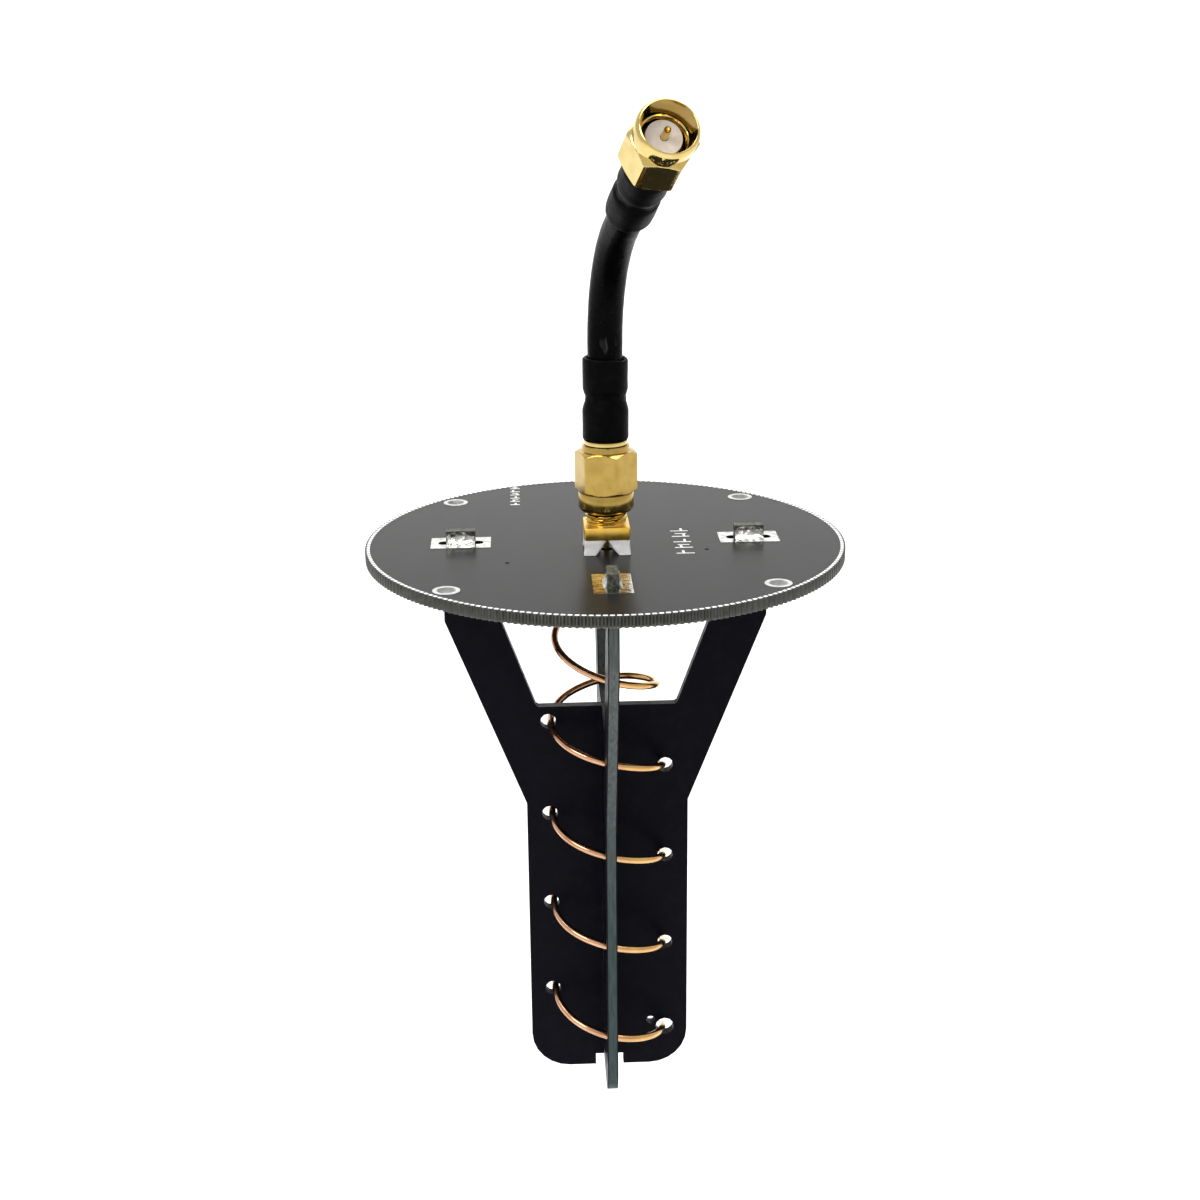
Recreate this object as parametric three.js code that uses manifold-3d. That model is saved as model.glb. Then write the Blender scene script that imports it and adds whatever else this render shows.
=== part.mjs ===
// Axial-mode helical antenna: a round circuit-board reflector, two crossed support boards that
// carry a copper helix, a coaxial jack behind the reflector, and a short screw-on lead.
// Millimetres, +Z up. The origin is the centre of the reflector's rear face, and the helix
// hangs below it. The lead rises from the jack and ends in a second plug.

import * as THREE from 'three';
import { mergeVertices } from 'three/addons/utils/BufferGeometryUtils.js';
import Module from 'manifold-3d';

const wasm = await Module();
wasm.setup();

// ---------------------------------------------------------------- driving dimensions

const BOARD = 1.6;                    // thickness of every circuit board
const COPPER = 0.05;                  // how proud plated copper stands

const REFLECTOR_R = 35;
const ROUND = 72;                     // flats round the reflector's edge
const RIM_W = 0.6;                    // width of the plated rim
const RIM_RIBS = 237;
const RIM_GROOVE = 0.3;
const MOUNT_HALF = 22.5;              // half the side of the mounting holes' square
const MOUNT_HOLE_R = 1.3;
const MOUNT_PAD_R = 1.9;

const TAB_AT = 21.1;                  // radius of the centre of each tab
const TAB_W = 4.3;
const TAB_PROUD = 2;
const SLOT_LEN = 6.6;
const SLOT_W = 1.75;
const LAND_LEN = 8.7;
const LAND_W = 5.4;

const BODY_HALF = 12.35;              // half width of a support board's straight part
const TAPER_Z = -41.5;                // where the straight part starts to widen
const OUTER_SLOPE = 0.389;            // outward growth of the arm's outer edge per mm of rise
const ARM_HALF = 23.9;                // half width over the arms' shoulders
const FORK_Z = -25.75;                // bottom of the fork
const FORK_HALF = 10.7;               // half width of the fork at its bottom
const INNER_SLOPE = 0.356;            // outward growth of the arm's inner edge per mm of rise
const INNER_HALF = 17.6;              // half width of the fork between the shoulders
const BOARD_END_Z = -87.65;
const END_R = 6;                      // corner radius at the boards' lower end
const NOTCH_HALF = 2.2;
const NOTCH_DEEP = 1.9;
const HALVING_HALF = 0.85;            // half width of the slots where the boards cross
const HALVING_Z = -55.8;              // where the two slots meet

const HELIX_R = 8.85;
const HELIX_PITCH = 15.15;
const HELIX_TOP_HOLE_Z = -28.1;       // first hole on the -X side
const HELIX_HELD_TURNS = 3.5;         // turns that pass through holes
const HELIX_FREE_TURNS = 1.69;        // even turns between the lead-in and the first hole
const FREE_R = 7.7;                   // radius of the turn that no board holds

// How far the wire hangs below an even pitch, as [turn, distance]. Turns count from the first hole.
const SAG = [
  [-1.7, 2.1], [-1, 2.1], [-0.72, 2.5], [-0.5, 2.1], [-0.25, 0.75], [-0.1, 0.65], [0.1, 0],
  [3, 0], [3.25, 0.45], [3.5, 0],
];
const LEAD_IN_TURNS = 0.12;           // share of the wire's count given to its bent start
const WIRE_R = 0.5;
const HOLE_PULL = 0.35;                // how far board A's holes hold the wire inside their centres
const WIRE_HOLE_R = 1.2;
const END_HOLE_R = 1.45;

const JACK_Y = -4.6;                  // the jack stands between the axis and the helix
const FLANGE = 6.5;
const FLANGE_Z = 2.2;
const FLANGE_T = 1.8;
const BARREL_R = 2.98;
const BARREL_TOP_Z = 10.7;
const LEG_PITCH = 5.08;
const WEB_INNER = -1.9;               // where leg solder ends under the flange, from its leg
const LEG_W = 1;
const LEG_END_Z = -1.9;
const CONTACT_R = 0.635;
const TAIL_R = 0.45;
const TAIL_END_Z = -3.2;

const PLUG_MOUTH_Z = 6;               // mouth of the lower nut when it is screwed down
const NUT_FLAT = 7.94;                // across the nut's flats
const NUT_COLLAR_R = 3.98;
const NUT_MOUTH_R = 3.66;
const PLUG_PIN_R = 0.46;
const FERRULE_R = 2.85;
const BOOT_R = 3.28;
const LOWER_BOOT_END = 22;            // from the plug's mouth
const UPPER_BOOT_END = 22.6;

const CABLE_R = 2.475;
const CABLE_START = 14.9;             // from a plug's mouth to the end of the jacket
const CORE_START = 8.1;
const INSULATION_START = 10;
const BRAID_START = 14.75;

// Centreline of the cable's jacket, from the lower plug to the upper plug.
const LEAD_ROUTE = [
  [0, -4.6, 20.9],
  [0, -4.6, 23.1],
  [0, -4.6, 25.3],
  [0, -4.6, 27.5],
  [0, -4.6, 29.65],
  [0.032, -4.762, 32.239],
  [0.126, -5.244, 34.786],
  [0.283, -6.038, 37.251],
  [0.498, -7.133, 39.593],
  [0.768, -8.51, 41.775],
  [1.09, -10.147, 43.761],
  [1.457, -12.017, 45.52],
  [1.865, -14.091, 47.024],
  [2.269, -16.149, 48.324],
  [2.673, -18.207, 49.623],
  [3.078, -20.264, 50.923],
  [3.482, -22.322, 52.222],
  [3.886, -24.38, 53.522],
];

const LOWER_PLUG_SPIN = -0.218;       // radians, how the lower plug stands about its axis
const UPPER_PLUG_SPIN = -0.167;       // radians, how the upper nut's corners stand about its axis

// ---------------------------------------------------------------- materials

const material = (color, roughness, metalness) =>
  new THREE.MeshStandardMaterial({ color, roughness, metalness });

const MASK = material(0x5e5f60, 0.35, 0.0);
const BLACK_BOARD = material(0x121217, 0.5, 0.0);
const TIN = material(0xc9c8c2, 0.35, 1.0);
const RIM_METAL = material(0x6d6e6a, 0.45, 0.8);
const GOLD = material(0xd9b65a, 0.25, 1.0);
const COPPER_WIRE = material(0xc88a4c, 0.3, 0.9);
const PTFE = material(0xeee6e2, 0.5, 0.0);
const SHRINK = material(0x17171b, 0.6, 0.0);
const JACKET = material(0x131315, 0.35, 0.0);
const RUBBER = material(0x1a1210, 0.7, 0.0);

// ---------------------------------------------------------------- solid helpers

// Drops the attributes that split vertices, so that a closed surface shares its corners.
function closed(geometry) {
  geometry.deleteAttribute('normal');
  geometry.deleteAttribute('uv');
  const merged = mergeVertices(geometry, 1e-4);
  const corners = merged.getIndex().array;
  const kept = [];
  for (let i = 0; i < corners.length; i += 3) {
    const [a, b, c] = [corners[i], corners[i + 1], corners[i + 2]];
    if (a !== b && b !== c && c !== a) kept.push(a, b, c);
  }
  merged.setIndex(kept);
  return signedVolume(merged) < 0 ? turnedInsideOut(merged) : merged;
}

function signedVolume(geometry) {
  const corners = geometry.getIndex().array;
  const spots = geometry.getAttribute('position');
  const [a, b, c] = [new THREE.Vector3(), new THREE.Vector3(), new THREE.Vector3()];
  let six = 0;
  for (let i = 0; i < corners.length; i += 3) {
    a.fromBufferAttribute(spots, corners[i]);
    b.fromBufferAttribute(spots, corners[i + 1]);
    c.fromBufferAttribute(spots, corners[i + 2]);
    six += a.dot(b.cross(c));
  }
  return six / 6;
}

function turnedInsideOut(geometry) {
  const corners = Array.from(geometry.getIndex().array);
  for (let i = 0; i < corners.length; i += 3) {
    [corners[i + 1], corners[i + 2]] = [corners[i + 2], corners[i + 1]];
  }
  geometry.setIndex(corners);
  return geometry;
}

function toManifold(geometry) {
  const ready = closed(geometry.clone());
  return new wasm.Manifold(new wasm.Mesh({
    numProp: 3,
    vertProperties: new Float32Array(ready.getAttribute('position').array),
    triVerts: new Uint32Array(ready.getIndex().array),
  }));
}

function fromManifold(solid) {
  const mesh = solid.getMesh();
  const geometry = new THREE.BufferGeometry();
  geometry.setAttribute('position', new THREE.BufferAttribute(mesh.vertProperties.slice(), 3));
  geometry.setIndex(Array.from(mesh.triVerts));
  return geometry;
}

function combine(how, base, tools) {
  const solids = [base, ...tools].map(toManifold);
  return fromManifold(solids.reduce((sum, next) => sum[how](next)));
}

const cut = (base, ...tools) => combine('subtract', base, tools);
const join = (base, ...tools) => combine('add', base, tools);
const common = (base, ...tools) => combine('intersect', base, tools);

// A profile of [radius, height] points turned round +Z. It closes on itself or on the axis.
function turned(profile, segments = 24) {
  const points = profile.map(([radius, height]) => new THREE.Vector2(radius, height));
  return new THREE.LatheGeometry(points, segments).rotateX(Math.PI / 2);
}

// A ring-shaped profile is given once round, and closes here.
const ring = (profile, segments) => turned([...profile, profile[0]], segments);

function rod(radius, z0, z1, segments = 24) {
  return turned([[0, z0], [radius, z0], [radius, z1], [0, z1]], segments);
}

function block(x, y, z0, z1) {
  return new THREE.BoxGeometry(x, y, z1 - z0).translate(0, 0, (z0 + z1) / 2);
}

// An outline in X and Y, made from z0 to z1.
function slab(shape, z0, z1, curveSegments = 6) {
  const options = { depth: z1 - z0, bevelEnabled: false, curveSegments };
  return new THREE.ExtrudeGeometry(shape, options).translate(0, 0, z0);
}

// A slot with round ends that lies along X.
function slotShape(length, width) {
  const shape = new THREE.Shape();
  const straight = (length - width) / 2;
  shape.absarc(straight, 0, width / 2, -Math.PI / 2, Math.PI / 2);
  shape.absarc(-straight, 0, width / 2, Math.PI / 2, Math.PI * 1.5);
  return shape;
}

function tube(path, steps, outerR, innerR, sides) {
  const shape = new THREE.Shape(circlePoints(outerR, sides));
  if (innerR > 0) shape.holes.push(new THREE.Path(circlePoints(innerR, sides).reverse()));
  return closed(new THREE.ExtrudeGeometry(shape, { extrudePath: path, steps, bevelEnabled: false }));
}

function circlePoints(radius, sides) {
  const points = [];
  for (let i = 0; i < sides; i += 1) {
    const angle = (i / sides) * Math.PI * 2;
    points.push(new THREE.Vector2(radius * Math.cos(angle), radius * Math.sin(angle)));
  }
  return points;
}

const root = new THREE.Group();

function place(parent, name, geometry, look) {
  const mesh = new THREE.Mesh(closed(geometry), look);
  mesh.name = name;
  parent.add(mesh);
}

// Four copies round the axis, numbered from the +X one.
function quarterTurns(make) {
  for (let i = 0; i < 4; i += 1) make(i + 1, (i * Math.PI) / 2);
}

// ---------------------------------------------------------------- reflector

function reflectorBoard() {
  const holes = [];
  quarterTurns((number, angle) => {
    const slot = slab(slotShape(SLOT_LEN, SLOT_W), -BOARD - 1, 1);
    holes.push(slot.translate(TAB_AT, 0, 0).rotateZ(angle));
    const mount = rod(MOUNT_HOLE_R + 0.15, -BOARD - 1, 1, 14).translate(MOUNT_HALF, MOUNT_HALF, 0);
    holes.push(mount.rotateZ(angle));
    const leg = rod(0.8, -BOARD - 1, 1, 10).translate(LEG_PITCH / 2, LEG_PITCH / 2, 0);
    holes.push(leg.rotateZ(angle).translate(0, JACK_Y, 0));
  });
  holes.push(rod(0.9, -BOARD - 1, 1, 12).translate(0, JACK_Y, 0));
  for (const [x, y] of [[-14.3, -10.4], [14.4, -5.8]]) {
    holes.push(rod(0.35, -BOARD - 1, 1, 8).translate(x, y, 0));
  }
  return cut(rod(REFLECTOR_R - RIM_W, -BOARD, 0, ROUND), ...holes);
}

// The plated edge is made from half holes, which leave a rib between each two.
function rimPlating() {
  const outline = [];
  for (let i = 0; i < RIM_RIBS; i += 1) {
    const spots = [[-0.3, REFLECTOR_R], [0.3, REFLECTOR_R], [0.5, REFLECTOR_R - RIM_GROOVE]];
    for (const [share, radius] of spots) {
      const angle = ((i + share) / RIM_RIBS) * Math.PI * 2;
      outline.push(new THREE.Vector2(radius * Math.cos(angle), radius * Math.sin(angle)));
    }
  }
  const shape = new THREE.Shape(outline);
  const inner = circlePoints(REFLECTOR_R - RIM_W + 0.02, ROUND).reverse();
  shape.holes.push(new THREE.Path(inner));
  return slab(shape, -BOARD - COPPER, COPPER);
}

// A plated hole: a thin barrel with a flat pad on each face.
function mountingEyelet() {
  const barrel = MOUNT_HOLE_R + 0.1;
  return ring([
    [MOUNT_HOLE_R, -BOARD - COPPER], [MOUNT_PAD_R, -BOARD - COPPER], [MOUNT_PAD_R, -BOARD],
    [barrel, -BOARD], [barrel, 0], [MOUNT_PAD_R, 0], [MOUNT_PAD_R, COPPER], [MOUNT_HOLE_R, COPPER],
  ], 14);
}

function tabLand() {
  const plate = block(LAND_LEN, LAND_W, 0, COPPER);
  return cut(plate, slab(slotShape(SLOT_LEN, SLOT_W), -1, 1)).translate(TAB_AT, 0, 0);
}

// Two fillets and a cap that run round the tab where it stands out of its land.
function tabSolder() {
  const half = TAB_W / 2;
  const wedge = new THREE.Shape([
    new THREE.Vector2(0, COPPER), new THREE.Vector2(2.1, COPPER),
    new THREE.Vector2(1.25, 0.5), new THREE.Vector2(0.95, TAB_PROUD - 0.1),
    new THREE.Vector2(0, TAB_PROUD - 0.1),
  ]);
  const side = slab(wedge, -half + 0.25, half - 0.25).rotateX(Math.PI / 2).rotateZ(Math.PI / 2);
  const other = side.clone().rotateZ(Math.PI);
  const tabRoom = block(TAB_W + 1, BOARD + 0.1, -1, TAB_PROUD + 1);
  return {
    front: cut(side, tabRoom).translate(TAB_AT, 0, 0),
    back: cut(other, tabRoom).translate(TAB_AT, 0, 0),
  };
}

// ---------------------------------------------------------------- support boards

// The right half of a board's outline as [x, z], from the fork round the arm to the lower end.
function boardOutline(endNotch) {
  const shoulderZ = -BOARD - 0.05;
  const tabIn = TAB_AT - TAB_W / 2;
  const tabOut = TAB_AT + TAB_W / 2;
  const innerZ = FORK_Z + (INNER_HALF - FORK_HALF) / INNER_SLOPE;
  const outerZ = TAPER_Z + (ARM_HALF - BODY_HALF) / OUTER_SLOPE;
  const edge = [
    [FORK_HALF - 0.45, FORK_Z],
    [FORK_HALF - 0.05, FORK_Z + 0.25],
    [INNER_HALF, innerZ],
    [INNER_HALF, shoulderZ],
    [tabIn, shoulderZ],
    [tabIn, TAB_PROUD],
    [tabOut, TAB_PROUD],
    [tabOut, shoulderZ],
    [ARM_HALF, shoulderZ],
    [ARM_HALF, outerZ],
    [BODY_HALF, TAPER_Z],
  ];
  const steps = 6;
  for (let i = 0; i <= steps; i += 1) {
    const angle = (i / steps) * (Math.PI / 2);
    edge.push([
      BODY_HALF - END_R + END_R * Math.cos(angle),
      BOARD_END_Z + END_R - END_R * Math.sin(angle),
    ]);
  }
  if (endNotch) {
    edge.push([NOTCH_HALF, BOARD_END_Z], [NOTCH_HALF, BOARD_END_Z + NOTCH_DEEP]);
  }
  return edge;
}

// A board stands in the XZ plane, with its holes given as [x, z, radius].
function supportBoard(endNotch, slot, holes) {
  const right = boardOutline(endNotch);
  const left = right.map(([x, z]) => [-x, z]).reverse();
  const shape = new THREE.Shape([...right, ...left].map(([x, z]) => new THREE.Vector2(x, z)));
  const drills = holes.map(([x, z, radius]) => rod(radius, -BOARD, BOARD, 12).translate(x, z, 0));
  const groove = new THREE.BoxGeometry(HALVING_HALF * 2, slot[1] - slot[0], BOARD * 2);
  drills.push(groove.translate(0, (slot[0] + slot[1]) / 2, 0));
  const flat = slab(shape, -BOARD / 2, BOARD / 2);
  return cut(flat, ...drills).rotateX(Math.PI / 2);
}

function boardA() {
  const holes = [];
  for (let i = 0; i < 4; i += 1) {
    const leftZ = HELIX_TOP_HOLE_Z - i * HELIX_PITCH;
    const lastOne = i === 3;
    holes.push([-HELIX_R, leftZ, WIRE_HOLE_R]);
    holes.push([HELIX_R, leftZ - HELIX_PITCH / 2, lastOne ? END_HOLE_R : WIRE_HOLE_R]);
  }
  holes.push([6.6, HELIX_TOP_HOLE_Z - 3.42 * HELIX_PITCH, 0.7]);
  return supportBoard(true, [BOARD_END_Z - 1, HALVING_Z], holes);
}

function boardB() {
  const holes = [];
  for (let i = 0; i < 4; i += 1) {
    const frontZ = HELIX_TOP_HOLE_Z - (i + 0.25) * HELIX_PITCH;
    holes.push([-HELIX_R, frontZ, WIRE_HOLE_R]);
    if (i < 3) holes.push([HELIX_R, frontZ - HELIX_PITCH / 2, WIRE_HOLE_R]);
  }
  return supportBoard(false, [HALVING_Z, FORK_Z + 1], holes).rotateZ(Math.PI / 2);
}

// ---------------------------------------------------------------- helix

const smooth = (x) => THREE.MathUtils.smoothstep(x, 0, 1);

function sagAt(turns) {
  const next = SAG.findIndex(([turn]) => turn >= turns);
  if (next < 1) return next === 0 ? SAG[0][1] : SAG[SAG.length - 1][1];
  const [[turnA, sagA], [turnB, sagB]] = [SAG[next - 1], SAG[next]];
  return sagA + (sagB - sagA) * smooth((turns - turnA) / (turnB - turnA));
}

// Turns are counted from the first hole, which is on the -X side. The helix is left-handed:
// seen from above it runs counter-clockwise as it goes down. The holes at -X and +X pull it in.
function helixPoint(turns) {
  const angle = Math.PI * (1 + 2 * turns);
  const held = smooth((turns + 0.55) / 0.35);
  const pull = HOLE_PULL * Math.cos(angle) ** 6;
  const radius = FREE_R + (HELIX_R - pull - FREE_R) * held;
  const z = HELIX_TOP_HOLE_Z - turns * HELIX_PITCH - sagAt(turns);
  return new THREE.Vector3(radius * Math.cos(angle), radius * Math.sin(angle), z);
}

// The wire leaves the feed straight outwards, and then bends into the helix.
const leadIn = new THREE.QuadraticBezierCurve3(
  new THREE.Vector3(0, JACK_Y - 1.2, -3),
  new THREE.Vector3(0.41, -8.12, -3.79),
  helixPoint(-HELIX_FREE_TURNS),
);

class HelixWire extends THREE.Curve {
  getPoint(t, target = new THREE.Vector3()) {
    const all = HELIX_HELD_TURNS + HELIX_FREE_TURNS + LEAD_IN_TURNS;
    const done = t * all;
    if (done < LEAD_IN_TURNS) return leadIn.getPoint(done / LEAD_IN_TURNS, target);
    return target.copy(helixPoint(done - LEAD_IN_TURNS - HELIX_FREE_TURNS));
  }
}

function helixWire() {
  const steps = Math.round((HELIX_HELD_TURNS + HELIX_FREE_TURNS + LEAD_IN_TURNS) * 14);
  return tube(new HelixWire(), steps, WIRE_R, 0, 8);
}

function feedSolder() {
  const blob = turned([
    [0, -3.5], [0.55, -3.45], [0.95, -3.05], [1.05, -2.4], [1.15, -1.75], [0, -1.75],
  ], 12);
  return cut(blob, rod(TAIL_R + 0.05, -4, -1, 12)).translate(0, JACK_Y, 0);
}

// ---------------------------------------------------------------- jack

function jackShell() {
  const flangeTop = FLANGE_Z + FLANGE_T;
  const legs = [];
  quarterTurns((number, angle) => {
    const leg = block(LEG_W, LEG_W, LEG_END_Z, FLANGE_Z + 0.1);
    legs.push(leg.translate(LEG_PITCH / 2, LEG_PITCH / 2, 0).rotateZ(angle));
  });
  const outside = join(
    block(FLANGE, FLANGE, FLANGE_Z, flangeTop),
    rod(BARREL_R, flangeTop - 0.1, BARREL_TOP_Z),
    ...legs,
  );
  const bore = turned([
    [0, FLANGE_Z - 1], [2.05, FLANGE_Z - 1], [2.05, BARREL_TOP_Z - 1.9],
    [2.42, BARREL_TOP_Z - 1.9], [2.42, BARREL_TOP_Z + 1], [0, BARREL_TOP_Z + 1],
  ]);
  return cut(outside, bore).translate(0, JACK_Y, 0);
}

function jackDielectric() {
  return ring([
    [0.68, FLANGE_Z + 0.05], [2, FLANGE_Z + 0.05], [2, BARREL_TOP_Z - 1.95],
    [0.68, BARREL_TOP_Z - 1.95],
  ]).translate(0, JACK_Y, 0);
}

function jackContact() {
  const top = BARREL_TOP_Z - 2;
  return turned([
    [0, TAIL_END_Z], [TAIL_R - 0.1, TAIL_END_Z], [TAIL_R, TAIL_END_Z + 0.2], [TAIL_R, 1.5],
    [CONTACT_R, 1.5], [CONTACT_R, top], [0.5, top], [0.5, top - 4], [0, top - 4],
  ], 12).translate(0, JACK_Y, 0);
}

// Solder that has run up one leg: a small foot on the board and a web under the flange,
// which spreads towards the jack's axis.
function legSolder() {
  const sleeve = block(1.36, 1.36, COPPER, FLANGE_Z - 0.05);
  const corners = sleeve.attributes.position;
  for (let i = 0; i < corners.count; i += 1) {
    if (corners.getZ(i) < 1) continue;
    if (corners.getX(i) < 0) corners.setX(i, WEB_INNER);
    if (corners.getY(i) < 0) corners.setY(i, WEB_INNER);
  }
  return cut(sleeve, block(LEG_W + 0.06, LEG_W + 0.06, -1, FLANGE_Z + 1));
}

// ---------------------------------------------------------------- plug

// Plug pieces are made along +Z from the mouth at 0 towards the cable.

function plugNut() {
  const hexRound = NUT_FLAT / 2 / Math.cos(Math.PI / 6);
  const hex = new THREE.CylinderGeometry(hexRound, hexRound, 6.1, 6, 1).rotateX(Math.PI / 2);
  const chamfer = turned([
    [0, 2.7], [4.1, 2.7], [4.55, 3.1], [4.55, 8.2], [3.75, 8.8], [0, 8.8],
  ]);
  const outside = join(
    turned([[0, 0], [NUT_MOUTH_R, 0], [NUT_COLLAR_R, 0.55], [NUT_COLLAR_R, 2.8], [0, 2.8]]),
    common(chamfer, hex.rotateZ(Math.PI / 6).translate(0, 0, 5.75)),
    turned([[0, 8.7], [3.45, 8.7], [3.3, 9.6], [0, 9.6]]),
  );
  const inside = turned([
    [0, -1], [3.5, -1], [3.5, 0], [3.12, 2.2], [3.12, 6.1], [2.65, 6.1], [2.65, 7.1],
    [3, 7.1], [3, 7.9], [2.65, 7.9], [2.65, 11], [0, 11],
  ]);
  return cut(outside, inside);
}

function plugGasket() {
  return ring([[2.4, 4.8], [3.04, 4.8], [3.04, 5.25], [2.4, 5.25]], 16);
}

function plugBody() {
  return ring([
    [2.05, 2.85], [2.34, 2.85], [2.34, 5.3], [3.04, 5.3], [3.04, 6], [2.5, 6], [2.5, 7.1],
    [2.1, 7.1], [2.1, 7.9], [2.5, 7.9], [2.5, 9.7], [3.1, 9.7], [3.1, 10.25], [1.95, 10.25],
    [1.95, 14.6], [1.55, 14.6], [1.55, 9.9], [2.05, 9.9],
  ], 18);
}

// A split ring in the groove between the nut and the body.
function retainingRing() {
  const shape = new THREE.Shape();
  const gap = 0.35;
  shape.absarc(0, 0, 2.9, gap, Math.PI * 2 - gap);
  shape.absarc(0, 0, 2.6, Math.PI * 2 - gap, gap, true);
  return slab(shape, 7.2, 7.8, 14);
}

function plugDielectric() {
  return ring([[0.55, 2.85], [2, 2.85], [2, 9.8], [0.8, 9.8], [0.8, 7.4], [0.55, 7.4]], 16);
}

function plugPin() {
  return turned([
    [0, 0.2], [0.18, 0.2], [PLUG_PIN_R, 0.9], [PLUG_PIN_R, 7.5], [0.75, 7.5], [0.75, 9.7],
    [0.5, 9.7], [0.5, 8], [0, 8],
  ], 12);
}

function crimpedBraid() {
  return ring([[2, 10.4], [2.35, 10.4], [2.35, 14.6], [2, 14.6]], 18);
}

function crimpFerrule() {
  return ring([
    [2.45, 10.4], [FERRULE_R, 10.4], [FERRULE_R, 15.6], [2.55, 15.6], [2.55, 14.7], [2.45, 14.7],
  ], 18);
}

// Shrunk sleeve: one swelling over the ferrule, a waist, and one over the cable.
function boot(end) {
  return ring([
    [2.95, 10.35], [3.15, 10.35], [BOOT_R, 10.9], [BOOT_R, 14.6], [2.87, 16.2], [3.2, 17.5],
    [3.2, end - 0.6], [3.05, end], [2.6, end], [2.6, 15.9], [2.95, 15.65],
  ], 18);
}

function addPlug(parent, prefix, bootEnd) {
  place(parent, `${prefix}_coupling_nut`, plugNut(), GOLD);
  place(parent, `${prefix}_retaining_ring`, retainingRing(), GOLD);
  place(parent, `${prefix}_gasket`, plugGasket(), RUBBER);
  place(parent, `${prefix}_plug_body`, plugBody(), GOLD);
  place(parent, `${prefix}_plug_dielectric`, plugDielectric(), PTFE);
  place(parent, `${prefix}_plug_pin`, plugPin(), GOLD);
  place(parent, `${prefix}_crimped_braid`, crimpedBraid(), TIN);
  place(parent, `${prefix}_crimp_ferrule`, crimpFerrule(), GOLD);
  place(parent, `${prefix}_boot`, boot(bootEnd), SHRINK);
}

// ---------------------------------------------------------------- cable

// The jacket's route, made longer at both ends so that inner layers reach into the plugs.
function route(extra) {
  const points = LEAD_ROUTE.map((spot) => new THREE.Vector3(...spot));
  const up = new THREE.Vector3(0, 0, 1);
  if (extra > 0) {
    points.unshift(points[0].clone().addScaledVector(up, -extra));
    points.push(points[points.length - 1].clone().addScaledVector(leadEnd().along, extra));
  }
  return new THREE.CatmullRomCurve3(points, false, 'centripetal');
}

// Where the jacket ends, and the direction in which the upper plug points.
function leadEnd() {
  const last = LEAD_ROUTE.length - 1;
  const [bend, end] = [last - 5, last].map((i) => new THREE.Vector3(...LEAD_ROUTE[i]));
  return { end, along: end.clone().sub(bend).normalize() };
}

function addCable(parent) {
  const steps = 17;
  const sides = 10;
  place(parent, 'cable_jacket', tube(route(0), steps, CABLE_R, 1.92, sides), JACKET);
  const braid = tube(route(CABLE_START - BRAID_START), steps, 1.8, 1.52, sides);
  place(parent, 'cable_braid', braid, TIN);
  const insulation = tube(route(CABLE_START - INSULATION_START), steps, 1.4, 0.56, sides);
  place(parent, 'cable_insulation', insulation, PTFE);
  const core = tube(route(CABLE_START - CORE_START), steps, 0.44, 0, 8);
  place(parent, 'cable_core', core, COPPER_WIRE);
}

// ---------------------------------------------------------------- assembly

place(root, 'reflector_board', reflectorBoard(), MASK);
place(root, 'rim_plating', rimPlating(), RIM_METAL);
quarterTurns((number, angle) => {
  const eyelet = mountingEyelet().translate(MOUNT_HALF, MOUNT_HALF, 0).rotateZ(angle);
  place(root, `mounting_eyelet_${number}`, eyelet, TIN);
  place(root, `tab_land_${number}`, tabLand().rotateZ(angle), TIN);
  const solder = tabSolder();
  place(root, `tab_solder_${number}_a`, solder.front.rotateZ(angle), TIN);
  place(root, `tab_solder_${number}_b`, solder.back.rotateZ(angle), TIN);
  const sleeve = legSolder().translate(LEG_PITCH / 2, LEG_PITCH / 2, 0).rotateZ(angle);
  place(root, `leg_solder_${number}`, sleeve.translate(0, JACK_Y, 0), TIN);
});
place(root, 'support_board_a', boardA(), BLACK_BOARD);
place(root, 'support_board_b', boardB(), BLACK_BOARD);
place(root, 'helix_wire', helixWire(), COPPER_WIRE);
place(root, 'feed_solder', feedSolder(), TIN);
place(root, 'jack_shell', jackShell(), GOLD);
place(root, 'jack_dielectric', jackDielectric(), PTFE);
place(root, 'jack_contact', jackContact(), GOLD);

const lowerPlug = new THREE.Group();
lowerPlug.position.set(0, JACK_Y, PLUG_MOUTH_Z);
lowerPlug.rotation.z = LOWER_PLUG_SPIN;
addPlug(lowerPlug, 'lower', LOWER_BOOT_END);
root.add(lowerPlug);

addCable(root);

const upperPlug = new THREE.Group();
const { end, along } = leadEnd();
upperPlug.position.copy(end).addScaledVector(along, CABLE_START);
const level = along.clone().cross(new THREE.Vector3(0, 0, 1)).normalize();
const corner = level.applyAxisAngle(along, UPPER_PLUG_SPIN);
const back = along.clone().negate();
const turn = new THREE.Matrix4().makeBasis(corner, back.clone().cross(corner), back);
upperPlug.quaternion.setFromRotationMatrix(turn);
addPlug(upperPlug, 'upper', UPPER_BOOT_END);
root.add(upperPlug);

export default root;
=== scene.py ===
"""Looks for the helical antenna: camera, cable, detailed pieces, materials, floor and light.

Shapes are worked out in millimetres and placed in metres, in the part's own frame: the origin
is the centre of the reflector's rear face, +Z points away from the helix, and the jack stands
towards -Y.
"""

import math
import random

import bpy
from mathutils import Matrix, Vector, noise


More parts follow.
